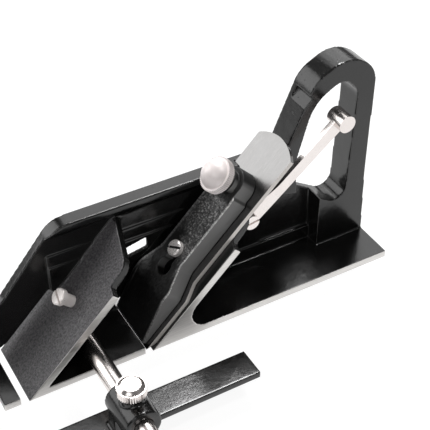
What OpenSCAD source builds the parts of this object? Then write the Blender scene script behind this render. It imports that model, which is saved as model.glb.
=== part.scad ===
// Duplex rebate plane: iron casting with a main seat and a bullnose seat,
// lever-adjusted cutter, lever cap, fence on a rod, depth stop and spur.
// X runs from toe to heel, Y from the open side to the wall side, Z up from the sole.

/* [Sole] */
// Main mouth to the heel
heel_length = 141; // [134:1:152]
// Width of the sole
sole_width = 38; // [36:0.5:41]
// Thickness of the sole plate
sole_thickness = 4; // [3:0.5:5]
// Toe to the bullnose mouth
nose_length = 12; // [11:0.5:14]
// Distance between the two mouths
seat_spacing = 65; // [63:0.5:68]
// Opening of each mouth in front of its iron
mouth_gap = 0.4; // [0.3:0.1:1.5]

/* [Beds] */
// Angle of both beds to the sole
bed_angle = 45; // [44:0.5:46]
// Thickness of a bed plate
bed_thickness = 4.5; // [4:0.1:5]
// Length along the bed of its ground edge, flush with the open side
bed_flush_length = 65.5; // [60:0.5:67]
// Step from the open side to the edge of the upper bed
bed_inset = 5; // [3:0.5:6]
// Length of the bed along the wall
bed_length = 94; // [90:1:98]
// Radius of the corner under the main bed, where it meets the sole
bed_root_r = 8.5; // [5:0.5:9]

/* [Wall] */
// Height of the wall above the sole
wall_height = 70; // [68:0.5:73]
// Thickness of the wall panel
wall_thickness = 5; // [4.5:0.1:6]
// Width of the rail along the top of the wall
rail_width = 7.9; // [7.4:0.1:8]
// Depth of the rail
rail_depth = 3.5; // [2:0.5:5]
// Extra thickness of the lower wall
base_step = 1.2; // [0.5:0.1:1.6]
// Height of the lower, thicker wall
base_height = 45.5; // [44:0.5:48]

/* [Handle] */
// Width of the loop handle across the plane
handle_width = 15; // [12:0.5:16]
// Height of the loop handle
handle_height = 118; // [114:1:124]
// Thickness of the grip at the heel
grip_thickness = 12; // [11:0.5:14]

/* [Iron] */
// Width of the iron at its edge
iron_width = 36.5; // [35:0.1:37]
// Width of the iron above its shoulders
iron_top_width = 28.8; // [27:0.1:30]
// Length of the iron
iron_length = 119; // [114:1:126]
// Thickness of the iron
iron_thickness = 2.4; // [2:0.1:2.8]
// Grinding angle of the bevel
iron_bevel = 25; // [22:1:35]
// Distance of the iron's side past the wall's face
iron_proud = 0.2; // [0:0.05:0.3]
// Pitch of the adjusting grooves across the back
groove_pitch = 3.2; // [2.8:0.1:4]
// Number of adjusting grooves
groove_count = 9; // [7:2:11]

/* [Lever cap] */
// Width of the cap at its toe
cap_width = 30.8; // [29:0.1:31.2]
// Width of the cap above its shoulders
cap_top_width = 20; // [18.5:0.1:20]
// Height of the cap's rim above the iron
cap_depth = 9.8; // [9:0.1:10.5]
// Depth of the dished face below the rim
cap_dish = 1; // [0.5:0.1:1.4]
// Distance of the thumbscrew's axis from the mouth, along the bed
thumb_s = 88.5; // [86.5:0.5:90]
// Distance of the seat screw's axis from the mouth, along the bed
seat_screw_s = 46.5; // [44:0.5:49]
// Travel of the cap along its keyhole
cap_travel = 10.5; // [9.5:0.1:11.5]

/* [Screws] */
// Diameter of the lever cap's thumbscrew head
thumb_head_d = 18.2; // [16:0.1:19]
// Diameter of the small thumbscrews' heads
small_head_d = 14; // [12:0.5:16]
// Diameter of the large screws' shanks
screw_d = 6; // [5.5:0.1:6.4]
// Diameter of a seat screw's head
seat_head_d = 8.3; // [7.8:0.1:8.6]
// Radial clearance of a running fit
running_gap = 0.05; // [0.03:0.01:0.09]

/* [Adjusting lever] */
// Distance of the pivot from the mouth, along the bed
pivot_s = 78.5; // [77.5:0.5:80]
// Depth of the pivot below the bed
pivot_depth = 8.8; // [8.8:0.1:9.6]
// Thickness of the lever
lever_thickness = 3; // [2.5:0.1:3.5]
// Length of the lever's arm
lever_length = 66; // [62:1:70]
// Depth of the lever's arm
lever_depth = 8; // [6.5:0.1:8.5]
// Slope of the arm below the line of the bed
lever_slope = 6; // [4:0.5:8]
// Diameter of the pivot
pivot_d = 5; // [4.5:0.1:5.5]

/* [Fence] */
// Length of the guide plate
fence_length = 116; // [100:1:120]
// Depth of the guide plate below the sole
fence_drop = 18; // [14:0.5:24]
// Distance of the guide face from the open side, at rest
fence_offset = 21; // [10:0.5:60]
// Length of the fence's rod
rod_length = 122; // [110:1:140]
// Diameter of the fence's rod
rod_d = 9.5; // [8.5:0.1:10]
// Height of the rod above the sole
rod_height = 14; // [13:0.5:15]
// Spacing of the two holes for a wooden face
face_hole_spacing = 76; // [60:1:84]
// Diameter of the holes for a wooden face
face_hole_d = 5; // [4:0.1:5.5]

/* [Depth stop and spur] */
// Height of the depth stop's foot above the sole, at rest
stop_height = 13.5; // [10:0.5:16]
// Length of the depth stop's foot
stop_length = 63; // [56:1:66]
// Thickness of the depth stop's plate
stop_thickness = 3; // [2.5:0.1:3.5]
// Travel of the depth stop above its rest
stop_rise = 6; // [4:0.5:8]
// Radius of the spur's cutters
spur_r = 9; // [8.5:0.1:9.2]

/* [Hidden] */
$fn = 64;

paint = [0.05, 0.05, 0.055];
steel = [0.72, 0.72, 0.74];
nickel = [0.86, 0.83, 0.81];

eps = 0.01;
flat_gap = 0.1;
bed_gap = 0.05;
bed_cut = 1;
sole_margin = 0.5;
mouth_width = (iron_thickness + bed_gap) / sin(bed_angle) + mouth_gap;
sole_length = nose_length + seat_spacing + heel_length;
toe_x = -sole_length / 2;
heel_x = sole_length / 2;
open_y = -sole_width / 2;
wall_y = sole_width / 2;
bull_x = toe_x + nose_length;
main_x = bull_x + seat_spacing;
panel_y = wall_y - wall_thickness;
base_y = panel_y - base_step;
rail_y = wall_y - rail_width;
handle_y = wall_y - handle_width;

// Wall: ramp from the nose, two narrow ledges, a low plinth behind the main bed
nose_wall_h = 27;
ramp_foot_h = 34;
wall_front_x = bull_x + 33;
ledge_spacing = 7;
rail_slope = 4;
plinth_height = 12;
plinth_step = 0.8;
window_lip = 2;

// Handle: strut behind the main bed, low block at the heel, opening between them
strut_from_mouth = 84.5;
strut_x = main_x + strut_from_mouth;
strut_foot_h = 65;
strut_root = [strut_x - 8, 50];
handle_span = heel_x - strut_x;
loop_low = [strut_x + 12, 45];
loop_lean = 1.5;
loop_lean_h = 60;
loop_rear = [heel_x - grip_thickness - 1.5, 26];
block_x = heel_x - 29.5;
block_root = 6;
block_top = loop_low[1]
  + (loop_rear[1] - loop_low[1]) * (block_x - loop_low[0]) / (loop_rear[0] - loop_low[0]);

// Iron: centred so that its wall side stands just proud of the wall's face
iron_y = wall_y + iron_proud - iron_width / 2;
iron_slot_w = seat_head_d + 0.7;
shoulder_s = 29;
shoulder_length = 9;
edge_setback = 1;

// Lever cap
cap_y = iron_y - 0.25;
cap_underside = iron_thickness + flat_gap;
cap_rim_h = iron_thickness + cap_depth;
cap_boss_h = cap_rim_h + 3;
cap_end_s = thumb_s + 8.5;
relief_h = cap_rim_h + 1.4;
cap_toe_s = 0;
cap_jog_s = 28;
cap_jog_length = 14;
relief_end_s = cap_jog_s + cap_jog_length + cap_travel + 2;
keyhole_slot_w = screw_d + 0.6;
keyhole_d = seat_head_d + 1.2;

// Heads
seat_head_h = 3;
thumb_skirt_h = 3.8;
thumb_dome_h = 6;
thumb_neck_h = 4.2;
thumb_neck_r = 4.5;
head_gap = 0.15;
small_collar_h = 2;
small_rim_h = 4;
small_top_h = 1.4;

// Adjusting lever and its lug
lever_y0 = cap_y - 7.2;
lever_y1 = lever_y0 + lever_thickness;
lug_y0 = lever_y1 + 0.2;
lug_length = 9.5;
hub_r = 5.2;
pivot_head_r = 4;
pivot_head_h = 2.7;
pivot_thread_r = pivot_d / 2 - 0.5;
finger_w = 1.3;
groove_depth = 1.2;
groove_w = 2.2;
finger_reach = 0.9;

// Fence
rod_r = rod_d / 2;
rod_from_mouth = 35;
rod_x = bull_x + rod_from_mouth;
rod_boss_r = rod_r + 3.75;
rod_end_y = wall_y - 3;
fence_y = open_y - fence_offset;
fence_plate = 6;
fence_boss_r = rod_r + 4.25;
fence_boss_length = 22;
fence_boss_set = 8;
fence_corner_r = 8;
fence_flange_t = 4;
fence_boss_y1 = fence_y - fence_boss_set;
fence_boss_y0 = fence_boss_y1 - fence_boss_length;
fence_top = -1.2;
clamp_r = 2.5;

// Depth stop
stop_from_mouth = 36;
stop_x = bull_x + stop_from_mouth;
stop_screw_z = 40;
stop_y0 = wall_y + flat_gap;
stop_y1 = stop_y0 + stop_thickness;
stop_shank_w = 14;
stop_foot_h = 10;
stop_foot_y0 = wall_y + iron_proud + 0.4;
stop_foot_y1 = wall_y + 8;
stop_washer_t = 0.8;
stop_head = 8;
stop_corner_r = 5;

// Spur
spur_from_mouth = 21;
spur_x = main_x - spur_from_mouth;
spur_z = 7.2;
spur_hub_r = 4.6;
spur_t = 1.5;
spur_recess = 1.9;
spur_y1 = wall_y - 0.2;
spur_screw_r = 1.6;

function unit(v) = v / norm(v);

// Points of the arc that rounds corner p1 between p0 and p2 with radius r
function corner(p0, p1, p2, r, n) =
  let (
    a = unit(p0 - p1),
    b = unit(p2 - p1),
    half = acos(a * b) / 2,
    centre = p1 + unit(a + b) * r / sin(half),
    from = p1 + a * r / tan(half) - centre,
    to = p1 + b * r / tan(half) - centre,
    start = atan2(from[1], from[0]),
    turn = atan2(to[1], to[0]) - start,
    sweep = turn > 180 ? turn - 360 : turn < -180 ? turn + 360 : turn
  )
  [for (i = [0 : n]) centre + r * [cos(start + sweep * i / n), sin(start + sweep * i / n)]];

// Outline through points [x, y, r], each corner rounded by its own radius r
function rounded(points, n = 8) =
  let (count = len(points), at = [for (p = points) [p[0], p[1]]])
  [for (i = [0 : count - 1])
    each points[i][2] == 0
      ? [at[i]]
      : corner(at[(i + count - 1) % count], at[i], at[(i + 1) % count], points[i][2], n)];

// Point of the X-Z plane at s along a bed and h above it
function bed_point(x0, s, h) =
  [x0 + s * cos(bed_angle) - h * sin(bed_angle), s * sin(bed_angle) + h * cos(bed_angle)];

// Frame of a bed: X along it, Z square to it
module on_bed(x0) {
  translate([x0, 0, 0]) rotate([0, -bed_angle, 0]) children();
}

// X-Z outline made solid from y0 to y1
module across(y0, y1) {
  translate([0, y1, 0]) rotate([90, 0, 0]) linear_extrude(y1 - y0) children();
}

// Cylinder along +Y
module rod_y(r, y0, y1) {
  translate([0, y1, 0]) rotate([90, 0, 0]) cylinder(r = r, h = y1 - y0);
}

// Round head with a grooved rim, standing on Z = 0
module knurled(r, h, teeth) {
  linear_extrude(h)
    polygon([for (i = [0 : 2 * teeth - 1])
      (r - (i % 2) * 0.35) * [cos(180 * i / teeth), sin(180 * i / teeth)]]);
}

// Slotted cheese head with its shank below Z = 0
module slotted_screw(shank_r, shank_length, head_r, head_h) {
  difference() {
    union() {
      translate([0, 0, -shank_length]) cylinder(r = shank_r, h = shank_length + eps);
      cylinder(r = head_r, h = head_h - 0.6);
      translate([0, 0, head_h - 0.6]) cylinder(r1 = head_r, r2 = head_r - 0.6, h = 0.6);
    }
    translate([-head_r - 1, -0.6, head_h - 1.2]) cube([2 * head_r + 2, 1.2, 2]);
  }
}

// Small thumbscrew: shank below Z = 0, grooved head with a turned top
module small_thumbscrew(shank_r, shank_length) {
  head_r = small_head_d / 2;
  translate([0, 0, -shank_length]) cylinder(r = shank_r, h = shank_length + eps);
  cylinder(r = head_r - small_collar_h, h = small_collar_h + eps);
  translate([0, 0, small_collar_h]) knurled(head_r, small_rim_h, 40);
  translate([0, 0, small_collar_h + small_rim_h - eps])
    cylinder(r1 = head_r - 0.8, r2 = head_r - 2.6, h = small_top_h);
}

// Body outlines in the X-Z plane

wall_outline = rounded([
  [toe_x, 0, 0],
  [toe_x, nose_wall_h, 6],
  [bull_x + 3, ramp_foot_h, 14],
  [wall_front_x, wall_height, 14],
  [strut_x + 2, wall_height, 0],
  [loop_low[0] - loop_lean, loop_lean_h, 0],
  [loop_low[0], loop_low[1], 0],
  [block_x, block_top, 0],
  [block_x + block_root, block_top - block_root, 0],
  [block_x + block_root, 0, 0]
]);

handle_outline = rounded([
  [strut_root[0], strut_root[1], 0],
  [strut_x, strut_foot_h, 0],
  [strut_x + handle_span / 3, handle_height - 9, handle_span * 0.29],
  [strut_x + handle_span * 0.66, handle_height + 1, handle_span * 0.32],
  [heel_x - 0.5, handle_height - 10, handle_span * 0.29],
  [heel_x - 1.5, 50, 30],
  [heel_x, 12, 0],
  [heel_x, 0, 0],
  [block_x, 0, 0],
  [block_x, block_top, 0],
  [loop_rear[0], loop_rear[1], 7],
  [heel_x - grip_thickness + 1, handle_height - 21, 10],
  [strut_x + handle_span * 0.66, handle_height - 11, handle_span * 0.15],
  [strut_x + handle_span * 0.345, handle_height - 20, handle_span * 0.4],
  [loop_low[0] - loop_lean, loop_lean_h + 6, 30],
  [loop_low[0], loop_low[1], 0]
]);

// Bed plate seen square to the bed: flush edge, inset upper edge, sloped top
bed_outline = rounded([
  [-2 * bed_thickness, open_y, 0],
  [bed_flush_length, open_y, 0],
  [bed_flush_length + 1.5, open_y + bed_inset, 1],
  [bed_length - 15, open_y + bed_inset + 1, 8],
  [bed_length - 4, panel_y, 0],
  [bed_length, wall_y, 0],
  [-2 * bed_thickness, wall_y, 0]
]);

// Slot through the wall beside a bed, open to the sole, for the iron's side
module side_slot(x0) {
  slot_h = iron_thickness + 1.2;
  slot_end = shoulder_s + shoulder_length + 4;
  polygon([
    [x0 - mouth_width, -1],
    [x0 - mouth_width, sole_thickness + 1],
    bed_point(x0, sole_thickness / sin(bed_angle) + 2, slot_h),
    bed_point(x0, slot_end, slot_h),
    bed_point(x0, slot_end, -bed_cut),
    bed_point(x0, -2, -bed_cut)
  ]);
}

// Window in the wall above the main throat
module throat_window() {
  polygon(rounded([
    [main_x - 18, 31.9, 2],
    [main_x + 14.6, 37.5, 1],
    [main_x + 14.6, 43.8, 1],
    [main_x - 18, 36.6, 2]
  ]));
}

// Flare of the window towards the wall's outer face
module window_flare() {
  polygon(rounded([
    [main_x - 18, 27, 3],
    [main_x + 18.3, 31.5, 2],
    [main_x + 18.3, 45, 3],
    [main_x - 18, 39, 3]
  ]));
}

// Low plinth along the wall from the main bed to the heel's block
module plinth() {
  mid_bed = bed_thickness / 2;
  polygon([
    bed_point(main_x, sole_thickness / sin(bed_angle), -mid_bed),
    bed_point(main_x, (plinth_height + mid_bed * cos(bed_angle)) / sin(bed_angle), -mid_bed),
    [block_x + 1, plinth_height],
    [block_x + 1, sole_thickness / 2]
  ]);
}

// Rounded corner under the main bed, where it meets the sole
module bed_root() {
  root_s = sole_thickness / sin(bed_angle) + bed_thickness / tan(bed_angle);
  root = bed_point(main_x, root_s, -bed_thickness);
  reach = bed_root_r / tan(bed_angle / 2);
  steps = 12;
  up_bed = bed_point(main_x, bed_length, -bed_thickness);
  arc = corner(up_bed, root, root + [bed_length, 0], bed_root_r, steps);
  polygon([
    3 * arc[0] - 2 * arc[1],
    for (i = [1 : steps - 1]) arc[i],
    3 * arc[steps] - 2 * arc[steps - 1],
    root + [reach, -sole_thickness / 2],
    root - [sole_thickness / 2, sole_thickness / 2],
    bed_point(main_x, root_s + reach, -bed_thickness / 2)
  ]);
}

module mouth_slot(x0) {
  polygon([
    [x0 - mouth_width, -1],
    bed_point(x0, -2, -bed_cut),
    bed_point(x0, sole_thickness / sin(bed_angle) + 3, -bed_cut),
    [x0 - mouth_width, sole_thickness + 1]
  ]);
}

module bed_plate(x0) {
  intersection() {
    on_bed(x0) translate([0, 0, -bed_thickness]) linear_extrude(bed_thickness) polygon(bed_outline);
    translate([toe_x, open_y, 0]) cube([sole_length, sole_width, wall_height]);
  }
}

module wall_section() {
  polygon([
    [wall_y, 0],
    [base_y, 0],
    [base_y, base_height],
    [base_y + base_step / 2, base_height],
    [base_y + base_step / 2, base_height + ledge_spacing],
    [panel_y, base_height + ledge_spacing],
    [panel_y, wall_height - rail_depth - rail_slope],
    [rail_y, wall_height - rail_depth],
    [rail_y, wall_height],
    [wall_y, wall_height]
  ]);
}

module wall() {
  difference() {
    union() {
      across(panel_y, wall_y) polygon(wall_outline);
      intersection() {
        translate([wall_front_x - 5, 0, 0]) rotate([90, 0, 90])
          linear_extrude(strut_x + 1 - wall_front_x) wall_section();
        across(0, wall_y) polygon(wall_outline);
      }
      across(base_y - plinth_step, panel_y) plinth();
    }
    across(0, wall_y + 1) side_slot(main_x);
    across(0, wall_y + 1) side_slot(bull_x);
    across(0, wall_y + 1) throat_window();
    across(base_y + window_lip, wall_y + 1) window_flare();
  }
}

// Relief in the wall beside the cap, in the bed's frame, with a swept upper edge
relief_outline = rounded([
  [-6, -bed_cut, 0],
  [-6, relief_h, 0],
  [cap_jog_s - 12, relief_h, 6],
  [cap_jog_s - 4, relief_h + 3.8, 5],
  [cap_jog_s + 7.5, relief_h + 0.8, 30],
  [relief_end_s - 8, relief_h, 20],
  [relief_end_s, relief_h - 2.8, 0],
  [relief_end_s, -bed_cut, 0]
]);

// Room above the sole, beside the bed, for the iron and for the cap as it slides off
module seat_clearance() {
  intersection() {
    union() {
      on_bed(main_x) translate([shoulder_s - 4, 0, -bed_cut])
        cube([iron_length, iron_y + iron_top_width / 2 + 0.6, iron_thickness + 0.6 + bed_cut]);
      across(0, cap_y + cap_width / 2 + 0.6)
        polygon([for (p = relief_outline) bed_point(main_x, p[0], p[1])]);
    }
    translate([toe_x, 0, sole_thickness + sole_margin]) cube([sole_length, wall_y, handle_height]);
  }
}

module lever_lug() {
  on_bed(main_x) translate([pivot_s - 7, lug_y0, -pivot_depth - 5.5])
    cube([13, lug_length, pivot_depth + 5.5 - bed_thickness + 1]);
}

module body() {
  color(paint) difference() {
    union() {
      difference() {
        union() {
          translate([toe_x, open_y, 0]) cube([sole_length, sole_width, sole_thickness]);
          wall();
          across(handle_y, wall_y) polygon(handle_outline);
        }
        across(open_y - 1, wall_y + 1) mouth_slot(main_x);
        across(open_y - 1, wall_y + 1) mouth_slot(bull_x);
        seat_clearance();
      }
      bed_plate(main_x);
      bed_plate(bull_x);
      across(open_y, panel_y) bed_root();
      lever_lug();
      translate([rod_x, 0, rod_height]) rod_y(rod_boss_r, panel_y - 12, panel_y + 1);
    }
    // Seat screw holes
    for (x0 = [main_x, bull_x])
      on_bed(x0) translate([seat_screw_s, cap_y, -bed_thickness - 1])
        cylinder(r = screw_d / 2 + running_gap, h = bed_thickness + 2);
    // Notch for the lever's finger and hub
    on_bed(main_x) translate([pivot_s - hub_r - 1.2, lever_y0 - 0.4, -bed_thickness - 1])
      cube([20, lever_thickness + 0.6, bed_thickness + 2]);
    // Pivot hole
    on_bed(main_x) translate([pivot_s, 0, -pivot_depth])
      rod_y(pivot_thread_r + running_gap, lug_y0 - 1, lug_y0 + lug_length + 1);
    // Rod socket
    translate([rod_x, 0, rod_height]) rod_y(rod_r + running_gap, 0, rod_end_y + 0.2);
    // Depth stop screw hole, spur recess and spur screw hole
    translate([stop_x, 0, stop_screw_z]) rod_y(screw_d / 2 + running_gap, base_y + 0.8, wall_y + 1);
    translate([spur_x, 0, spur_z]) rod_y(spur_r + 0.3, wall_y - spur_recess, wall_y + 1);
    translate([spur_x, 0, spur_z]) rod_y(spur_screw_r + running_gap, base_y + 1, wall_y);
  }
}

// Iron seen square to the bed
module iron_plan() {
  half = iron_width / 2;
  top_half = iron_top_width / 2;
  crown = 5.2;
  crown_r = (top_half * top_half + crown * crown) / (2 * crown);
  intersection() {
    polygon(rounded([
      [-2 * iron_thickness, -half, 0],
      [shoulder_s, -half, 5],
      [shoulder_s + shoulder_length, -top_half, 5],
      [iron_length, -top_half, 0],
      [iron_length, top_half, 0],
      [shoulder_s + shoulder_length, top_half, 5],
      [shoulder_s, half, 5],
      [-2 * iron_thickness, half, 0]
    ]));
    union() {
      translate([-20, -half]) square([iron_length - 2, iron_width]);
      translate([iron_length - crown_r, 0]) circle(r = crown_r, $fn = 128);
    }
  }
}

module iron() {
  slot_half = 12;
  color(steel) on_bed(main_x) translate([edge_setback, iron_y, bed_gap]) difference() {
    linear_extrude(iron_thickness) iron_plan();
    // Bevel on the bed side, ending at the edge on the upper face
    translate([-iron_thickness, 0, iron_thickness]) rotate([0, iron_bevel, 0])
      translate([-20, -iron_width, -20]) cube([40, 2 * iron_width, 20]);
    // Slot over the seat screw
    translate([seat_screw_s - edge_setback, cap_y - iron_y, -1]) linear_extrude(iron_thickness + 2) {
      for (side = [-1, 1]) translate([side * (slot_half - iron_slot_w / 2), 0]) circle(r = iron_slot_w / 2);
      square([2 * slot_half - iron_slot_w, iron_slot_w], center = true);
    }
    // Grooves across the back for the lever's finger
    for (i = [0 : groove_count - 1])
      translate([pivot_s - edge_setback + (i - (groove_count - 1) / 2) * groove_pitch - groove_w / 2,
          lever_y0 - iron_y - 2.5, -1])
        cube([groove_w, lever_thickness + 5, groove_depth + 1]);
  }
}

// Cap seen square to the bed, drawn in by an inset: wide toe, shoulders, narrower rounded end
module cap_plan(inset) {
  half = cap_width / 2 - inset;
  top_half = cap_top_width / 2 - inset;
  end_half = top_half - 1.3;
  polygon(rounded([
    [cap_toe_s + inset, half, 0],
    [cap_toe_s + inset, -half, 0],
    [cap_jog_s, -half, 8],
    [cap_jog_s + cap_jog_length, -top_half, 10],
    [cap_end_s - 13.4, -top_half, 0.6],
    [cap_end_s - 11.6, -end_half, 0.6],
    [cap_end_s - inset, -end_half, end_half - 0.4],
    [cap_end_s - inset, end_half, end_half - 0.4],
    [cap_end_s - 11.6, end_half, 0.6],
    [cap_end_s - 13.4, top_half, 0.6],
    [cap_jog_s + cap_jog_length, top_half, 10],
    [cap_jog_s, half, 8]
  ]));
}

// Side view of the cap along the bed, lowered by a drop, over the shape's full width
module cap_profile(drop) {
  across(-cap_width, cap_width) polygon(rounded([
    [cap_toe_s - 1, cap_underside, 0],
    [cap_toe_s - 1, cap_underside + 1.6, 0],
    [cap_jog_s - 4, cap_rim_h - drop, 20],
    [cap_end_s + 1, cap_rim_h - drop, 0],
    [cap_end_s + 1, cap_underside, 0]
  ]));
}

module lever_cap() {
  rim = 2.2;
  boss_r = 6;
  arch = 3;
  color(paint) on_bed(main_x) translate([0, cap_y, 0]) difference() {
    union() {
      intersection() {
        translate([0, 0, cap_underside]) linear_extrude(cap_rim_h) cap_plan(0);
        cap_profile(0);
      }
      translate([thumb_s, 0, cap_underside]) cylinder(r = boss_r, h = cap_boss_h - cap_underside);
    }
    // Dished face inside the rim, round the thumbscrew's boss
    difference() {
      translate([0, 0, cap_underside]) linear_extrude(cap_rim_h + 1) cap_plan(rim);
      cap_profile(cap_dish);
      translate([thumb_s, 0, 0]) cylinder(r = boss_r, h = cap_boss_h + 1);
    }
    // Arched underside, bearing at the toe and along the sides
    translate([cap_jog_s / 2, -cap_top_width / 2 + 2.4, 0])
      cube([thumb_s - cap_jog_s / 2 - boss_r, cap_top_width - 4.8, cap_underside + arch]);
    // Keyhole: narrow end under the seat screw, wide end below it
    translate([seat_screw_s, 0, 0]) {
      cylinder(r = keyhole_slot_w / 2, h = cap_rim_h + 5);
      translate([-cap_travel, -keyhole_slot_w / 2, 0]) cube([cap_travel, keyhole_slot_w, cap_rim_h + 5]);
      translate([-cap_travel, 0, 0]) cylinder(r = keyhole_d / 2, h = cap_rim_h + 5);
    }
    // Thumbscrew hole
    translate([thumb_s, 0, 0]) cylinder(r = screw_d / 2 + running_gap, h = cap_boss_h + 5);
  }
}

module cap_thumbscrew() {
  head_r = thumb_head_d / 2;
  dome_base_r = head_r - 1.3;
  dome_r = (dome_base_r * dome_base_r + thumb_dome_h * thumb_dome_h) / (2 * thumb_dome_h);
  neck_h0 = cap_boss_h + head_gap;
  color(nickel) on_bed(main_x) translate([thumb_s, cap_y, 0]) {
    translate([0, 0, cap_underside]) cylinder(r = screw_d / 2, h = neck_h0 - cap_underside + eps);
    translate([0, 0, neck_h0]) cylinder(r = thumb_neck_r, h = thumb_neck_h + eps);
    translate([0, 0, neck_h0 + thumb_neck_h]) {
      knurled(head_r, thumb_skirt_h, 56);
      intersection() {
        translate([0, 0, thumb_skirt_h + thumb_dome_h - dome_r]) sphere(r = dome_r);
        translate([0, 0, thumb_skirt_h - eps]) cylinder(r = head_r, h = thumb_dome_h + 1);
      }
    }
  }
}

module main_seat_screw() {
  head_h0 = cap_rim_h - cap_dish + head_gap;
  color(nickel) on_bed(main_x) translate([seat_screw_s, cap_y, head_h0]) rotate([0, 0, -60])
    slotted_screw(screw_d / 2, head_h0 + bed_thickness, seat_head_d / 2, seat_head_h);
}

module bullnose_seat_screw() {
  head_h0 = cap_rim_h - cap_dish - 5;
  color(nickel) on_bed(bull_x) translate([seat_screw_s, cap_y, head_h0]) rotate([0, 0, 75])
    slotted_screw(screw_d / 2, head_h0 + bed_thickness + 4, seat_head_d / 2, seat_head_h);
}

// Lever seen from the side, in the bed's frame, round its pivot
module lever_side() {
  drop = lever_length * tan(lever_slope);
  circle(r = hub_r);
  polygon(rounded([
    [0, hub_r - 0.2, 0],
    [22, -1, 30],
    [lever_length, -drop + lever_depth / 2 - 1, 2],
    [lever_length, -drop - lever_depth / 2 - 0.2, 2],
    [14, -hub_r - 1.2, 20],
    [0, -hub_r + 0.2, 0]
  ]));
  translate([-finger_w / 2, 0]) square([finger_w, pivot_depth + finger_reach - finger_w / 2]);
  translate([0, pivot_depth + finger_reach - finger_w / 2]) circle(r = finger_w / 2);
}

module adjusting_lever() {
  drop = lever_length * tan(lever_slope);
  pad_r = lever_depth / 2 + 0.6;
  pad_w = 11;
  color(nickel) on_bed(main_x) translate([pivot_s, 0, -pivot_depth]) difference() {
    union() {
      across(lever_y0, lever_y1) lever_side();
      translate([lever_length, 0, -drop - 0.6])
        rod_y(pad_r, (lever_y0 + lever_y1 - pad_w) / 2, (lever_y0 + lever_y1 + pad_w) / 2);
    }
    rod_y(pivot_d / 2 + running_gap, lever_y0 - 1, lever_y1 + 1);
  }
}

module lever_pivot_screw() {
  shoulder_y = lever_y0 - flat_gap;
  color(nickel) on_bed(main_x) translate([pivot_s, 0, -pivot_depth]) difference() {
    union() {
      rod_y(pivot_head_r, shoulder_y - pivot_head_h, shoulder_y);
      rod_y(pivot_d / 2, shoulder_y - eps, lug_y0);
      rod_y(pivot_thread_r, lug_y0 - eps, lug_y0 + lug_length - 1);
    }
    rotate([0, 35, 0]) translate([-pivot_head_r - 1, shoulder_y - pivot_head_h - 1, -0.6])
      cube([2 * pivot_head_r + 2, 2, 1.2]);
  }
}

module fence() {
  flange_w = 10;
  neck_w = 2 * fence_boss_r - 2;
  neck_l = 8;
  hole_x = rod_x + fence_length * 0.1;
  hole_z = (fence_top - fence_flange_t - fence_drop) / 2;
  pad_h = 1;
  color(paint) difference() {
    union() {
      // Guide plate with rounded lower corners
      across(fence_y - fence_plate, fence_y) polygon(rounded([
        [rod_x - fence_length * 0.4, fence_top, 0],
        [rod_x - fence_length * 0.4, -fence_drop, fence_corner_r],
        [rod_x + fence_length * 0.6, -fence_drop, fence_corner_r],
        [rod_x + fence_length * 0.6, fence_top, 0]
      ]));
      // Stiffening flange along its top
      translate([rod_x - fence_length * 0.4, fence_y - fence_plate - flange_w, fence_top - fence_flange_t])
        cube([fence_length, flange_w + eps, fence_flange_t]);
      // Neck up to the boss on the rod
      translate([rod_x - neck_w / 2, fence_boss_y1 - neck_l, fence_top - eps])
        cube([neck_w, neck_l, rod_height - fence_top]);
      translate([rod_x, 0, rod_height]) rod_y(fence_boss_r, fence_boss_y0, fence_boss_y1);
      translate([rod_x, (fence_boss_y0 + fence_boss_y1) / 2, rod_height])
        cylinder(r = clamp_r + 3, h = fence_boss_r + pad_h);
    }
    translate([rod_x, 0, rod_height]) rod_y(rod_r + running_gap, fence_boss_y0 - 1, fence_boss_y1 + 1);
    translate([rod_x, (fence_boss_y0 + fence_boss_y1) / 2, rod_height])
      cylinder(r = clamp_r + running_gap, h = fence_boss_r + pad_h + 1);
    for (side = [-1, 1])
      translate([hole_x + side * face_hole_spacing / 2, 0, hole_z])
        rod_y(face_hole_d / 2, fence_y - fence_plate - 1, fence_y + 1);
  }
}

module fence_rod() {
  chamfer = 0.8;
  color(nickel) translate([rod_x, rod_end_y, rod_height]) rotate([90, 0, 0]) {
    cylinder(r = rod_r, h = rod_length - chamfer);
    translate([0, 0, rod_length - chamfer - eps]) cylinder(r1 = rod_r, r2 = rod_r - chamfer, h = chamfer);
  }
}

module fence_thumbscrew() {
  seat_z = rod_height + fence_boss_r + 1 + 0.6;
  color(nickel) translate([rod_x, (fence_boss_y0 + fence_boss_y1) / 2, seat_z])
    small_thumbscrew(clamp_r, seat_z - rod_height - rod_r - flat_gap);
}

module depth_stop() {
  slot_w = screw_d + 0.6;
  slot_low = stop_screw_z - stop_rise;
  slot_high = stop_screw_z + stop_height;
  color(paint) difference() {
    union() {
      across(stop_y0, stop_y1) polygon(rounded([
        [stop_x - stop_shank_w / 2, stop_height, 0],
        [stop_x + stop_shank_w / 2, stop_height, 0],
        [stop_x + stop_shank_w / 2, slot_high + stop_head, stop_corner_r],
        [stop_x - stop_shank_w / 2, slot_high + stop_head, stop_corner_r]
      ]));
      // Foot set off the wall, clear of the iron's side
      translate([stop_x - stop_shank_w / 2, stop_foot_y0, stop_height])
        cube([stop_length, stop_foot_y1 - stop_foot_y0, stop_foot_h]);
    }
    across(stop_y0 - 1, stop_y1 + 1) {
      translate([stop_x, slot_low]) circle(r = slot_w / 2);
      translate([stop_x, slot_high]) circle(r = slot_w / 2);
      translate([stop_x - slot_w / 2, slot_low]) square([slot_w, slot_high - slot_low]);
    }
  }
}

module depth_stop_washer() {
  color(nickel) translate([stop_x, 0, stop_screw_z]) difference() {
    rod_y(small_head_d / 2 - 0.5, stop_y1 + flat_gap, stop_y1 + flat_gap + stop_washer_t);
    rod_y(screw_d / 2 + running_gap, stop_y1, stop_y1 + stop_washer_t + 1);
  }
}

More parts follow.
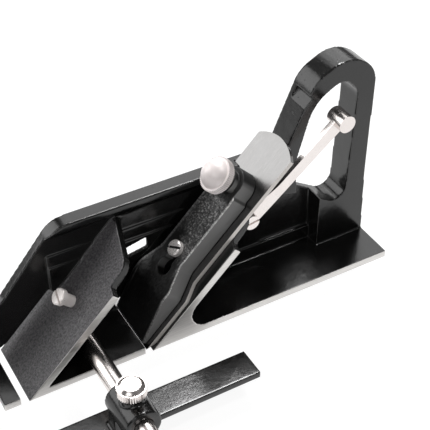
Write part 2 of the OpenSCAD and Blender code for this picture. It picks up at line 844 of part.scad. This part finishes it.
module depth_stop_thumbscrew() {
  seat_y = stop_y1 + 2 * flat_gap + stop_washer_t;
  color(nickel) translate([stop_x, seat_y, stop_screw_z]) rotate([-90, 0, 0])
    small_thumbscrew(screw_d / 2, seat_y - base_y - 1);
}

module spur() {
  lobe_r = 3.2;
  color(steel) translate([spur_x, 0, spur_z]) difference() {
    union() {
      rod_y(spur_hub_r, spur_y1 - spur_t, spur_y1);
      // Three cutters, the fourth quarter left bare so that the spur can be put out of use
      for (turn = [0, 90, 180])
        rotate([0, -turn, 0]) translate([spur_r - lobe_r, 0, 0]) rod_y(lobe_r, spur_y1 - spur_t, spur_y1);
    }
    rod_y(spur_screw_r + running_gap, spur_y1 - spur_t - 1, spur_y1 + 1);
    translate([0, spur_y1 + eps, 0]) rotate([90, 0, 0])
      cylinder(r1 = 3 + running_gap, r2 = spur_screw_r + running_gap, h = 1.2);
  }
}

module spur_screw() {
  color(nickel) translate([spur_x, 0, spur_z]) difference() {
    union() {
      translate([0, spur_y1, 0]) rotate([90, 0, 0]) cylinder(r1 = 3, r2 = spur_screw_r, h = 1.2);
      rod_y(spur_screw_r, base_y + 1.2, spur_y1 - 1);
    }
    translate([-4, spur_y1 - 0.5, -0.4]) cube([8, 2, 0.8]);
  }
}

body();
iron();
lever_cap();
cap_thumbscrew();
main_seat_screw();
bullnose_seat_screw();
adjusting_lever();
lever_pivot_screw();
fence();
fence_rod();
fence_thumbscrew();
depth_stop();
depth_stop_thumbscrew();
depth_stop_washer();
spur();
spur_screw();
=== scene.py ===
"""Looks of the rebate plane: materials, rounded edges, light and camera."""
import math

import bpy
import numpy as np
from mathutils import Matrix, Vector, noise


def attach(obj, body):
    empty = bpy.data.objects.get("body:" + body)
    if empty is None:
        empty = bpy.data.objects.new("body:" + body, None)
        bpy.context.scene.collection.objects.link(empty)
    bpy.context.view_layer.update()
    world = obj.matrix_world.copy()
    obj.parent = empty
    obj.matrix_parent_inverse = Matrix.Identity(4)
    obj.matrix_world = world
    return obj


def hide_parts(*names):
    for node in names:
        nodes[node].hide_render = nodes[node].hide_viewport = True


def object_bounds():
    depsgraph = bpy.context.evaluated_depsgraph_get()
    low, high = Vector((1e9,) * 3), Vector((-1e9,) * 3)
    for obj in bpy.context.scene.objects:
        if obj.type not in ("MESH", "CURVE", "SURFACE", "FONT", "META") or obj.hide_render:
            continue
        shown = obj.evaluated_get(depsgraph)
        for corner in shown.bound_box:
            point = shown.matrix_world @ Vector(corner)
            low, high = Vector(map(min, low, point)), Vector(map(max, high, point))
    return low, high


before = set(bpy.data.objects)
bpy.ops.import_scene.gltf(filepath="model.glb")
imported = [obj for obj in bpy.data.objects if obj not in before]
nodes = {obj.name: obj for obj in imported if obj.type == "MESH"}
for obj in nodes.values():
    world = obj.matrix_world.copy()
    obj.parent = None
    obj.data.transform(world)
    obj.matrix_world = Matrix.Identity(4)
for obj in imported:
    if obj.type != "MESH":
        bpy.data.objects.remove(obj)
cad_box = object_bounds()
scene = bpy.context.scene

# Lengths are in metres. "Along" runs up the main bed from its mouth, "height" stands square on
# the bed. A pair gives the two ends of a span.
HALF = math.sqrt(0.5)            # sine and cosine of the beds' 45 degrees
BED_UP = (-HALF, 0.0, HALF)      # the way the beds face
BED_X = -0.032                   # main mouth, where the bed's plane meets the sole
FRONT_BED_X = -0.097             # bullnose mouth

# Body: where its skin is ground bright or bare, and where its edges carry worn paint and a
# painted highlight
OPEN_SIDE_Y = (-0.01880, -0.01890)
WALL_SIDE_Y = (0.01855, 0.01888)
WALL_SIDE_TURN = (0.90, 0.98)    # part of the normal that faces the wall's side
SOLE_Z = (0.00015, 0.00005)
BARE_BED = (0.0005, 0.0002)      # distance from the bullnose bed's plane
BARE_BED_Z = (0.0625, 0.0620)    # above this the plane meets the wall's rail
# pointiness where edges get worn paint and a painted highlight
EDGE_WEAR_AND_HIGHLIGHT = (0.53, 0.58)

# Lever cap
CAP_Y = 0.0007                   # its middle
CAP_WIDE = 0.0154                # half width at the foot
CAP_NARROW = 0.0100              # half width at the top
CAP_TAPER = (0.028, 0.042)       # along: where the painted rim runs in
CAP_TAPER_FROM = 0.030           # along: where the hollow runs in
CAP_TAPER_SLOPE = 0.45
CAP_RIM_HIGHLIGHT = (-0.0016, -0.0008)     # painted highlight along the edge, drawn as worn paint, from the half width
CAP_RIM_HIGHLIGHT_SIDES = (-0.002, 0.002)  # it is stronger on the open side ...
CAP_RIM_HIGHLIGHT_FOOT = (0.020, 0.030)    # ... and above the foot, along
CAP_FACE_H = 0.0112              # height of the dished face
CAP_FACE_BAND = (0.0108, 0.0126)  # heights that belong to the face
CAP_FACE_TURN = 0.1              # least part of the normal along the bed's own
CAP_DISH = 0.0010                # depth of the dish below the cap's edge
CAP_DISH_FAR = 0.4               # share of that depth on the wall's side
CAP_HOLLOW = 0.0050              # width of the dish's rise to the edge
CAP_FOOT = (0.012, 0.030)        # along: flat foot in front of the face
CAP_FOOT_INSET = 0.0026          # edge of the foot that stays smooth
CAP_FOOT_TURN = 0.8
DISH_FROM = 0.022                # along: where the dish starts ...
DISH_START = 0.006               # ... the length of its start ...
DISH_TO = 0.084                  # ... where it ends at the boss ...
DISH_END = 0.004                 # ... and the length of its end

# Sand skin of the cap's face, and the painted light and glints on its upper part
PIT_DEPTH = 0.00036
PIT_EDGE = 0.0012                # pits fade over this width at the face's edge
PIT_SIZES = ((0.6, 1.0, (0, 0, 0)), (1.25, 0.7, (7, 3, 1)))   # per mm, share, shift
PIT_FADE = 0.006                 # pits get shallower over this width towards the foot ...
PIT_FADE_SHIFT = 0.004
PIT_LEAST = 0.5                  # ... down to this share
SAND_AND_LIGHT_FROM = 0.049                # along: where the deep pits and the painted light reach the middle of the face
SAND_AND_LIGHT_SLANT = 0.84
PAINTED_LIGHT_FADE = (-0.003, 0.004)
PAINTED_LIGHT_RAGGED = 0.012              # unevenness of the painted light's limit
SAND_AND_LIGHT_TOP = (0.079, 0.081)        # along: the boss is smooth again, with neither sand nor painted light

# Screws
SEAT_SCREW_ALONG = 0.0465
SEAT_SCREW_TOP = 0.01435         # height of its head's top
SLOT_DEPTH = (0.0002, 0.0004)    # dark colour below the head's top
SLOT_REACH = (0.0038, 0.0037)    # dark colour, from the screw's axis
KNOB = (0.03058, 0.0007, 0.06258)   # axis of the cap's thumbscrew
KNOB_RIM = 0.0086
KNURL_DEPTH = 0.0002
KNURLS = 56.0                    # grooves round the rim

PAINT_ROUGH = (0.15, 0.24)
PAINT_SPECULAR = 0.55
EVEN_LINES = (20.0, 20.0, 20.0)  # stretch of the fine lines on plated pieces
MM = 1000.0                      # millimetres in a metre
WELD = 0.000005
SMOOTH_STEP = 0.5
BEVEL = 0.0002
BEVEL_STEPS = 2
BEVELS = {"iron": 0.00015, "adjusting_lever": 0.0003, "cap_thumbscrew": 0.00012}
BEVEL_ANGLE = math.radians(32)

# Stage
FLOOR_SIZE = 12.0
FLOOR_GAP = 0.0002               # below the part's lowest point
FLOOR_TONE = 0.93
FLOOR_GLOW = 1.15                # strength towards the camera, metal and glass
FLOOR_GLOW_SHARE = 0.8           # the rest is lit, and keeps the shadow
WORLD_LIGHT = 0.13
LIGHT_TARGET = (0.014, 0.0, 0.054)
LIGHT_DISTANCE = 1.2
LIGHTS = {                       # direction from the target, size, watts
    "key": ((0.32, 0.40, 0.86), 0.3, 9),
    "back": ((0.38, 0.67, 0.64), 0.9, 4.6),
    "left_back": ((-0.62, 0.64, 0.45), 0.9, 6.5),
    "front_left": ((-0.60, -0.50, 0.62), 0.6, 2.6),
    "top_front": ((0.38, -0.26, 0.89), 0.12, 3),
}

# Camera, fitted to the photo's straight edges
AZIMUTH = math.radians(29.68)
ELEVATION = math.radians(39.59)
CAMERA_TARGET = (0.01384, 0.0, 0.05434)
CAMERA_DISTANCE = 0.5182
FOCAL_PIXELS = 1062.3
IMAGE_PIXELS = 430.0
SENSOR_MM = 36.0


class Shader:
    """A material's node tree, built one node at a time."""

    def __init__(self, name):
        self.material = bpy.data.materials.new(name)
        self.material.use_nodes = True
        self.tree = self.material.node_tree
        self.bsdf = self.tree.nodes["Principled BSDF"]
        coords = self.add("ShaderNodeTexCoord")
        self.place = coords.outputs["Object"]
        self.normal = coords.outputs["Normal"]

    def add(self, kind, **settings):
        made = self.tree.nodes.new(kind)
        for key, value in settings.items():
            setattr(made, key, value)
        return made

    def put(self, socket, value):
        """Link another node's output to the socket, or set the socket's own value."""
        if isinstance(value, bpy.types.NodeSocket):
            self.tree.links.new(value, socket)
        else:
            socket.default_value = value

    def math(self, operation, *values):
        made = self.add("ShaderNodeMath", operation=operation)
        for socket, value in zip(made.inputs, values):
            self.put(socket, value)
        return made.outputs[0]

    def plus(self, a, b):
        return self.math("ADD", a, b)

    def minus(self, a, b):
        return self.math("SUBTRACT", a, b)

    def times(self, a, b):
        return self.math("MULTIPLY", a, b)

    def most(self, a, b):
        return self.math("MAXIMUM", a, b)

    def size(self, a):
        return self.math("ABSOLUTE", a)

    def reach(self, a, b):
        """Length of the line with the two sides a and b."""
        return self.math("SQRT", self.plus(self.times(a, a), self.times(b, b)))

    def component(self, vector, which):
        made = self.add("ShaderNodeSeparateXYZ")
        self.put(made.inputs[0], vector)
        return made.outputs[which]

    def axis(self, which):
        return self.component(self.place, which)

    def turn(self, which):
        return self.component(self.normal, which)

    def facing(self, direction):
        made = self.add("ShaderNodeVectorMath", operation="DOT_PRODUCT")
        self.put(made.inputs[0], self.normal)
        made.inputs[1].default_value = direction
        return made.outputs["Value"]

    def along(self):
        return self.times(self.plus(self.minus(self.axis(0), BED_X), self.axis(2)), HALF)

    def height(self):
        return self.times(self.plus(self.minus(BED_X, self.axis(0)), self.axis(2)), HALF)

    def noise(self, scale, detail, roughness, stretch=None):
        made = self.add("ShaderNodeTexNoise")
        place = self.place
        if stretch:
            drawn = self.add("ShaderNodeVectorMath", operation="MULTIPLY")
            self.put(drawn.inputs[0], place)
            drawn.inputs[1].default_value = stretch
            place = drawn.outputs[0]
        self.put(made.inputs["Vector"], place)
        made.inputs["Scale"].default_value = scale
        made.inputs["Detail"].default_value = detail
        made.inputs["Roughness"].default_value = roughness
        return made.outputs["Fac"]

    def range(self, value, span, to=(0.0, 1.0)):
        """Carry a value from one span to another, held at both ends."""
        made = self.add("ShaderNodeMapRange")
        self.put(made.inputs["Value"], value)
        made.inputs["From Min"].default_value, made.inputs["From Max"].default_value = span
        made.inputs["To Min"].default_value, made.inputs["To Max"].default_value = to
        return made.outputs["Result"]

    def mix(self, factor, a, b):
        """Mix two colours."""
        made = self.add("ShaderNodeMix", data_type="RGBA")
        self.put(made.inputs[0], factor)
        self.put(made.inputs[6], a)
        self.put(made.inputs[7], b)
        return made.outputs[2]

    def mix_normals(self, factor, a, b):
        made = self.add("ShaderNodeMix", data_type="VECTOR")
        self.put(made.inputs[0], factor)
        self.put(made.inputs[4], a)
        self.put(made.inputs[5], b)
        return made.outputs[1]

    def blend(self, factor, a, b):
        """Mix two numbers."""
        made = self.add("ShaderNodeMix", data_type="FLOAT")
        self.put(made.inputs[0], factor)
        self.put(made.inputs[2], a)
        self.put(made.inputs[3], b)
        return made.outputs[0]

    def bump(self, height, strength, distance, normal=None):
        made = self.add("ShaderNodeBump")
        self.put(made.inputs["Height"], height)
        self.put(made.inputs["Strength"], strength)
        made.inputs["Distance"].default_value = distance
        if normal is not None:
            self.put(made.inputs["Normal"], normal)
        return made.outputs["Normal"]

    def finish(self, **values):
        for key, value in values.items():
            self.put(self.bsdf.inputs[key.replace("_", " ")], value)
        return self.material


def grey(value, warm=0.0):
    return (value * (1 + warm), value, value * (1 - warm), 1.0)


def paint_layers(s):
    """Black paint over a sand casting: its colour, roughness and cast skin."""
    grain = s.noise(scale=1100.0, detail=5.0, roughness=0.6)
    lumps = s.noise(scale=170.0, detail=3.0, roughness=0.5)
    dust = s.noise(scale=45.0, detail=5.0, roughness=0.6)
    specks = s.range(s.noise(scale=760.0, detail=2.0, roughness=0.5), (0.70, 0.76))
    colour = s.mix(s.range(dust, (0.35, 0.75)), grey(0.003), grey(0.008, 0.03))
    rough = s.range(grain, (0.3, 0.7), PAINT_ROUGH)
    skin = s.bump(lumps, strength=0.20, distance=0.0005)
    skin = s.bump(grain, strength=0.10, distance=0.0002, normal=skin)
    skin = s.bump(specks, strength=0.35, distance=0.0003, normal=skin)
    return colour, rough, skin


def casting_paint(name):
    s = Shader(name)
    colour, rough, skin = paint_layers(s)
    return s.finish(Base_Color=colour, Roughness=rough, Normal=skin,
                    Specular_IOR_Level=PAINT_SPECULAR)


def cap_paint(name):
    """The cap's paint: sides painted lighter grey as a painted sheen, a face left rough by the
    sand whose upper part is painted lighter with glints, and a painted highlight along the
    edge of its face drawn as worn paint.
    """
    s = Shader(name)
    colour, _, skin = paint_layers(s)
    # Painted sheen: the side faces are painted lighter grey, standing for the light they catch
    sides = s.range(s.size(s.turn(1)), (0.75, 0.95))
    colour = s.mix(sides, colour, grey(0.17, 0.01))

    facing = s.facing(BED_UP)
    face = s.range(facing, (0.72, 0.92))
    along = s.along()
    grains = s.noise(scale=1050.0, detail=3.0, roughness=0.65)
    clumps = s.noise(scale=260.0, detail=2.0, roughness=0.5)
    # Painted light: above a slanted line the face is painted lighter, as where light falls,
    # and below it stays black as a painted shadow
    upper = s.minus(s.times(s.minus(along, SAND_AND_LIGHT_FROM), SAND_AND_LIGHT_SLANT), s.axis(1))
    upper = s.plus(upper, s.times(s.minus(clumps, 0.5), PAINTED_LIGHT_RAGGED))
    painted_light_on_sand = s.times(s.range(upper, PAINTED_LIGHT_FADE), s.range(along, SAND_AND_LIGHT_TOP, (1.0, 0.0)))
    # Bright grains on the lit part: painted glints
    coarse = s.times(s.range(grains, (0.50, 0.66)), s.range(clumps, (0.36, 0.56), (0.35, 1.0)))
    coarse = s.times(coarse, painted_light_on_sand)
    sand = s.mix(coarse, s.mix(painted_light_on_sand, grey(0.004), grey(0.056)), grey(0.34, 0.01))
    skin = s.bump(grains, strength=s.times(face, 0.5), distance=0.0004, normal=skin)

    side = s.minus(s.axis(1), CAP_Y)
    half_width = s.range(along, CAP_TAPER, (CAP_WIDE, CAP_NARROW))
    # Painted highlight: a pale band along the edge of the face, drawn as worn paint, stronger
    # on the open side
    rim = s.times(s.range(s.minus(s.size(side), half_width), CAP_RIM_HIGHLIGHT),
                  s.range(facing, (0.40, 0.60)))
    rim = s.times(rim, s.range(side, CAP_RIM_HIGHLIGHT_SIDES, (1.0, 0.2)))
    rim = s.times(rim, s.range(along, CAP_RIM_HIGHLIGHT_FOOT, (0.3, 1.0)))
    wear_and_highlight = s.times(rim, s.range(grains, (0.40, 0.58), (0.30, 1.0)))
    return s.finish(Base_Color=s.mix(wear_and_highlight, s.mix(face, colour, sand), grey(0.80, 0.01)),
                    Roughness=s.blend(face, 0.48, s.blend(painted_light_on_sand, 0.55, 0.27)),
                    Normal=skin, Specular_IOR_Level=PAINT_SPECULAR)


def ground_casting(name):
    """Painted casting whose outer side faces and underside are ground to bright metal."""
    s = Shader(name)
    colour, rough, skin = paint_layers(s)
    y = s.axis(1)
    z = s.axis(2)
    open_side = s.range(y, OPEN_SIDE_Y)
    wall_side = s.times(s.range(y, WALL_SIDE_Y), s.range(s.turn(1), WALL_SIDE_TURN))
    ground = s.most(s.most(open_side, wall_side), s.range(z, SOLE_Z))

    # The bed that carries no iron shows its bare, greyer skin
    above_bed = s.minus(z, s.minus(s.axis(0), FRONT_BED_X))
    bare = s.times(s.range(s.size(above_bed), BARE_BED), s.range(z, BARE_BED_Z))
    pores = s.noise(scale=950.0, detail=4.0, roughness=0.65)
    bare_tone = s.mix(s.range(pores, (0.35, 0.68)),
                      (0.025, 0.024, 0.026, 1.0), (0.14, 0.134, 0.14, 1.0))
    colour = s.mix(bare, colour, bare_tone)
    rough = s.blend(bare, rough, 0.45)
    skin = s.bump(pores, strength=s.times(bare, 0.7), distance=0.0005, normal=skin)

    # Outer edges are painted lighter: partly thin worn paint, partly a painted highlight along
    # them
    edge = s.range(s.add("ShaderNodeNewGeometry").outputs["Pointiness"], EDGE_WEAR_AND_HIGHLIGHT)
    wear_and_highlight = s.times(edge, s.range(pores, (0.40, 0.55), (0.0, 0.6)))
    colour = s.mix(wear_and_highlight, colour, grey(0.40, 0.02))

    lines = s.noise(scale=60.0, detail=3.0, roughness=0.6, stretch=(1.0, 1.0, 24.0))
    metal = s.mix(s.range(lines, (0.35, 0.7)), grey(0.62, 0.03), grey(0.76, 0.025))
    metal_rough = s.range(lines, (0.3, 0.7), (0.30, 0.42))
    metal_skin = s.bump(lines, strength=0.08, distance=0.0002)
    return s.finish(Base_Color=s.mix(ground, colour, metal), Metallic=ground,
                    Roughness=s.blend(ground, rough, metal_rough),
                    Normal=s.mix_normals(ground, skin, metal_skin),
                    Specular_IOR_Level=PAINT_SPECULAR)


def metal_layers(s, tint, rough_span, line_stretch):
    """Plated or ground metal with fine lines, soft stains and slight unevenness."""
    lines = s.noise(scale=80.0, detail=4.0, roughness=0.6, stretch=line_stretch)
    cloud = s.noise(scale=60.0, detail=4.0, roughness=0.55)
    stain = (tint[0] * 0.93, tint[1] * 0.92, tint[2] * 0.91, 1.0)
    colour = s.mix(s.range(cloud, (0.3, 0.75)), tint, stain)
    colour = s.mix(s.times(s.range(lines, (0.5, 0.75)), 0.2), colour, grey(0.5, 0.02))
    uneven = s.plus(s.times(lines, 0.6), s.times(cloud, 0.4))
    rough = s.range(uneven, (0.3, 0.7), rough_span)
    normal = s.bump(cloud, strength=0.04, distance=0.0006)
    normal = s.bump(lines, strength=0.05, distance=0.00015, normal=normal)
    return colour, rough, normal


def plated(name, tint, rough_span, metallic):
    s = Shader(name)
    colour, rough, normal = metal_layers(s, tint, rough_span, EVEN_LINES)
    return s.finish(Base_Color=colour, Metallic=metallic, Roughness=rough, Normal=normal)


def cutter_steel(name):
    """The iron's steel: ground faces, and duller sheared sides painted pale as a painted
    sheen.
    """
    s = Shader(name)
    colour, rough, normal = metal_layers(s, (0.235, 0.233, 0.232, 1.0), (0.20, 0.28),
                                         line_stretch=(3.0, 60.0, 3.0))
    # Painted sheen: the side faces are pale and less metallic, standing for the light they
    # catch
    sides = s.range(s.size(s.turn(1)), (0.6, 0.85))
    return s.finish(Base_Color=s.mix(sides, colour, (0.74, 0.70, 0.67, 1.0)),
                    Metallic=s.blend(sides, 1.0, 0.3),
                    Roughness=s.blend(sides, rough, 0.5), Normal=normal)


def slotted_nickel(name, tint):
    """Plating of the main seat's screw, coloured dark in its slot."""
    s = Shader(name)
    colour, rough, normal = metal_layers(s, tint, (0.24, 0.34), EVEN_LINES)
    across = s.minus(s.axis(1), CAP_Y)
    reach = s.reach(across, s.minus(s.along(), SEAT_SCREW_ALONG))
    depths = (SEAT_SCREW_TOP - SLOT_DEPTH[0], SEAT_SCREW_TOP - SLOT_DEPTH[1])
    slot = s.times(s.range(s.height(), depths), s.range(reach, SLOT_REACH))
    return s.finish(Base_Color=s.mix(slot, colour, grey(0.02, 0.05)),
                    Metallic=s.blend(slot, 0.45, 0.0),
                    Roughness=s.blend(slot, rough, 0.7), Normal=normal)


def knurled_nickel(name, tint):
    """Satin plating of the thumbscrew, darker in the grooves of its rim."""
    s = Shader(name)
    colour, rough, normal = metal_layers(s, tint, (0.34, 0.44), EVEN_LINES)
    across = s.minus(s.axis(1), KNOB[1])
    along = s.times(s.plus(s.minus(s.axis(0), KNOB[0]), s.minus(s.axis(2), KNOB[2])), HALF)
    wave = s.math("COSINE", s.times(s.math("ARCTAN2", across, along), KNURLS))
    groove = s.times(s.range(wave, (0.5, -0.8)),
                     s.range(s.reach(across, along), (KNOB_RIM - KNURL_DEPTH, KNOB_RIM)))
    darker_grooves = s.mix(s.times(groove, 0.8), colour, grey(0.28, 0.03))
    return s.finish(Base_Color=darker_grooves, Metallic=0.12, Roughness=rough, Normal=normal)


def floor_paper(name):
    """Pale floor that camera, metal and glass see as white, and that keeps the shadow."""
    s = Shader(name)
    path = s.add("ShaderNodeLightPath").outputs
    seen = s.most(s.most(path["Is Camera Ray"], path["Is Glossy Ray"]),
                  path["Is Transmission Ray"])
    glow = s.add("ShaderNodeEmission")
    s.put(glow.inputs["Strength"], FLOOR_GLOW)
    both = s.add("ShaderNodeMixShader")
    s.put(both.inputs[0], s.times(seen, FLOOR_GLOW_SHARE))
    s.put(both.inputs[1], s.bsdf.outputs[0])
    s.put(both.inputs[2], glow.outputs[0])
    s.put(s.tree.nodes["Material Output"].inputs["Surface"], both.outputs[0])
    return s.finish(Base_Color=grey(FLOOR_TONE), Roughness=0.9)


paint_plain = casting_paint("casting_plain")
ground_steel = cutter_steel("ground_steel")
nickel = plated("nickel", (0.84, 0.79, 0.77, 1.0), (0.18, 0.28), 1.0)
finishes = {
    "body": ground_casting("casting_body"),
    "lever_cap": cap_paint("casting_cap"),
    "fence": paint_plain,
    "depth_stop": paint_plain,
    "iron": ground_steel,
    "spur": ground_steel,
    "cap_thumbscrew": knurled_nickel("knob_nickel", (0.90, 0.83, 0.82, 1.0)),
    "main_seat_screw": slotted_nickel("screw_nickel", (0.92, 0.88, 0.86, 1.0)),
    "bullnose_seat_screw": plated("satin_nickel", (0.90, 0.85, 0.83, 1.0), (0.24, 0.34), 0.2),
}


def cast_piece(node, body, voxel, passes):
    """Stand-in for a cast node with softly rounded edges and corners."""
    piece = bpy.data.objects.new(node + "_cast", nodes[node].data.copy())
    scene.collection.objects.link(piece)
    piece.modifiers.new("weld", "WELD").merge_threshold = WELD
    remesh = piece.modifiers.new("remesh", "REMESH")
    remesh.mode = "VOXEL"
    remesh.voxel_size = voxel
    smooth = piece.modifiers.new("smooth", "SMOOTH")
    smooth.factor = SMOOTH_STEP
    smooth.iterations = passes
    rounded = piece.evaluated_get(bpy.context.evaluated_depsgraph_get())
    mesh = bpy.data.meshes.new_from_object(rounded)
    piece.modifiers.clear()
    piece.data = mesh
    piece.data.materials.clear()
    piece.data.materials.append(finishes[node])
    piece.data.shade_smooth()
    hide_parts(node)
    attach(piece, body)
    return piece


def pits(place):
    """Rise of the sand's grains and fall of its pits at a place."""
    spot = Vector(place) * MM
    return sum(share * noise.noise(spot * scale + Vector(shift))
               for scale, share, shift in PIT_SIZES)


def shape_cap_face(piece):
    """Hollow the cap's face up to its edges, with the coarse pits and grains of the sand."""
    up = np.array(BED_UP)
    count = len(piece.data.vertices)
    places = np.empty(count * 3)
    normals = np.empty(count * 3)
    piece.data.vertices.foreach_get("co", places)
    piece.data.vertices.foreach_get("normal", normals)
    places = places.reshape(count, 3)
    facing = normals.reshape(count, 3) @ up
    along = (places[:, 0] - BED_X + places[:, 2]) * HALF
    height = (BED_X - places[:, 0] + places[:, 2]) * HALF
    across = places[:, 1]
    side = np.abs(across - CAP_Y)
    half_width = np.clip(CAP_WIDE - (along - CAP_TAPER_FROM) * CAP_TAPER_SLOPE,
                         CAP_NARROW, CAP_WIDE)
    inside = np.clip(half_width - side, 0.0, CAP_HOLLOW)
    chosen = (facing > CAP_FACE_TURN) & (side < half_width)
    chosen &= (height > CAP_FACE_BAND[0]) & (height < CAP_FACE_BAND[1])
    chosen |= ((facing > CAP_FOOT_TURN) & (inside > CAP_FOOT_INSET)
               & (along > CAP_FOOT[0]) & (along < CAP_FOOT[1]))
    upper = SAND_AND_LIGHT_SLANT * (along - SAND_AND_LIGHT_FROM) - across
    coarse = np.clip((upper + PIT_FADE_SHIFT) / PIT_FADE, PIT_LEAST, 1.0)
    dish = np.where(across < CAP_Y, CAP_DISH, CAP_DISH * CAP_DISH_FAR)
    for index in np.flatnonzero(chosen & (along < DISH_TO)):
        at_edge = min(1.0, inside[index] / PIT_EDGE)
        lift = PIT_DEPTH * pits(places[index]) * at_edge * coarse[index]
        if along[index] > DISH_FROM:
            hollow = CAP_FACE_H + dish[index] * (1.0 - inside[index] / CAP_HOLLOW) ** 2
            share = min(1.0, (along[index] - DISH_FROM) / DISH_START,
                        (DISH_TO - along[index]) / DISH_END)
            lift += share * (hollow - height[index])
        places[index] += up * lift
    piece.data.vertices.foreach_set("co", places.ravel())
    piece.data.update()


def round_edges(name, obj):
    obj.modifiers.new("weld", "WELD").merge_threshold = WELD
    bevel = obj.modifiers.new("round", "BEVEL")
    bevel.width = BEVELS.get(name, BEVEL)
    bevel.segments = BEVEL_STEPS
    bevel.limit_method = "ANGLE"
    bevel.angle_limit = BEVEL_ANGLE
    obj.modifiers.new("smooth", "WEIGHTED_NORMAL").keep_sharp = True


castings = {"body": cast_piece("body", "casting", voxel=0.0005, passes=4),
            "lever_cap": cast_piece("lever_cap", "cap", voxel=0.00034, passes=7),
            "fence": cast_piece("fence", "fence_guide", voxel=0.0006, passes=4),
            "depth_stop": cast_piece("depth_stop", "stop", voxel=0.0005, passes=4)}
shape_cap_face(castings["lever_cap"])

for name, obj in nodes.items():
    obj.data.materials.clear()
    obj.data.materials.append(finishes.get(name, nickel))
    if name not in castings:
        round_edges(name, obj)


def add_floor():
    half = FLOOR_SIZE / 2
    corners = [(-half, -half, 0), (half, -half, 0), (half, half, 0), (-half, half, 0)]
    mesh = bpy.data.meshes.new("floor")
    mesh.from_pydata(corners, [], [(0, 1, 2, 3)])
    mesh.materials.append(floor_paper("floor"))
    floor = bpy.data.objects.new("floor", mesh)
    floor.location = (0, 0, cad_box[0][2] - FLOOR_GAP)
    scene.collection.objects.link(floor)


def add_softbox(name, direction, size, watts):
    lamp = bpy.data.lights.new(name, "AREA")
    lamp.energy = watts
    lamp.size = size
    obj = bpy.data.objects.new(name, lamp)
    toward = Vector(direction).normalized()
    obj.location = Vector(LIGHT_TARGET) + toward * LIGHT_DISTANCE
    obj.rotation_euler = toward.to_track_quat("Z", "Y").to_euler()
    scene.collection.objects.link(obj)


def add_camera():
    level = math.cos(ELEVATION)
    toward = Vector((-math.sin(AZIMUTH) * level, -math.cos(AZIMUTH) * level,
                     math.sin(ELEVATION)))
    data = bpy.data.cameras.new("camera")
    data.sensor_width = SENSOR_MM
    data.lens = FOCAL_PIXELS / IMAGE_PIXELS * SENSOR_MM
    camera = bpy.data.objects.new("camera", data)
    camera.location = Vector(CAMERA_TARGET) + toward * CAMERA_DISTANCE
    camera.rotation_euler = toward.to_track_quat("Z", "Y").to_euler()
    scene.collection.objects.link(camera)
    scene.camera = camera


add_floor()
scene.world = bpy.data.worlds.new("world")
scene.world.use_nodes = True
background = scene.world.node_tree.nodes["Background"]
background.inputs["Color"].default_value = grey(1.0)
background.inputs["Strength"].default_value = WORLD_LIGHT
for name, (direction, size, watts) in LIGHTS.items():
    add_softbox(name, direction, size, watts)
add_camera()
scene.view_settings.view_transform = "Standard"
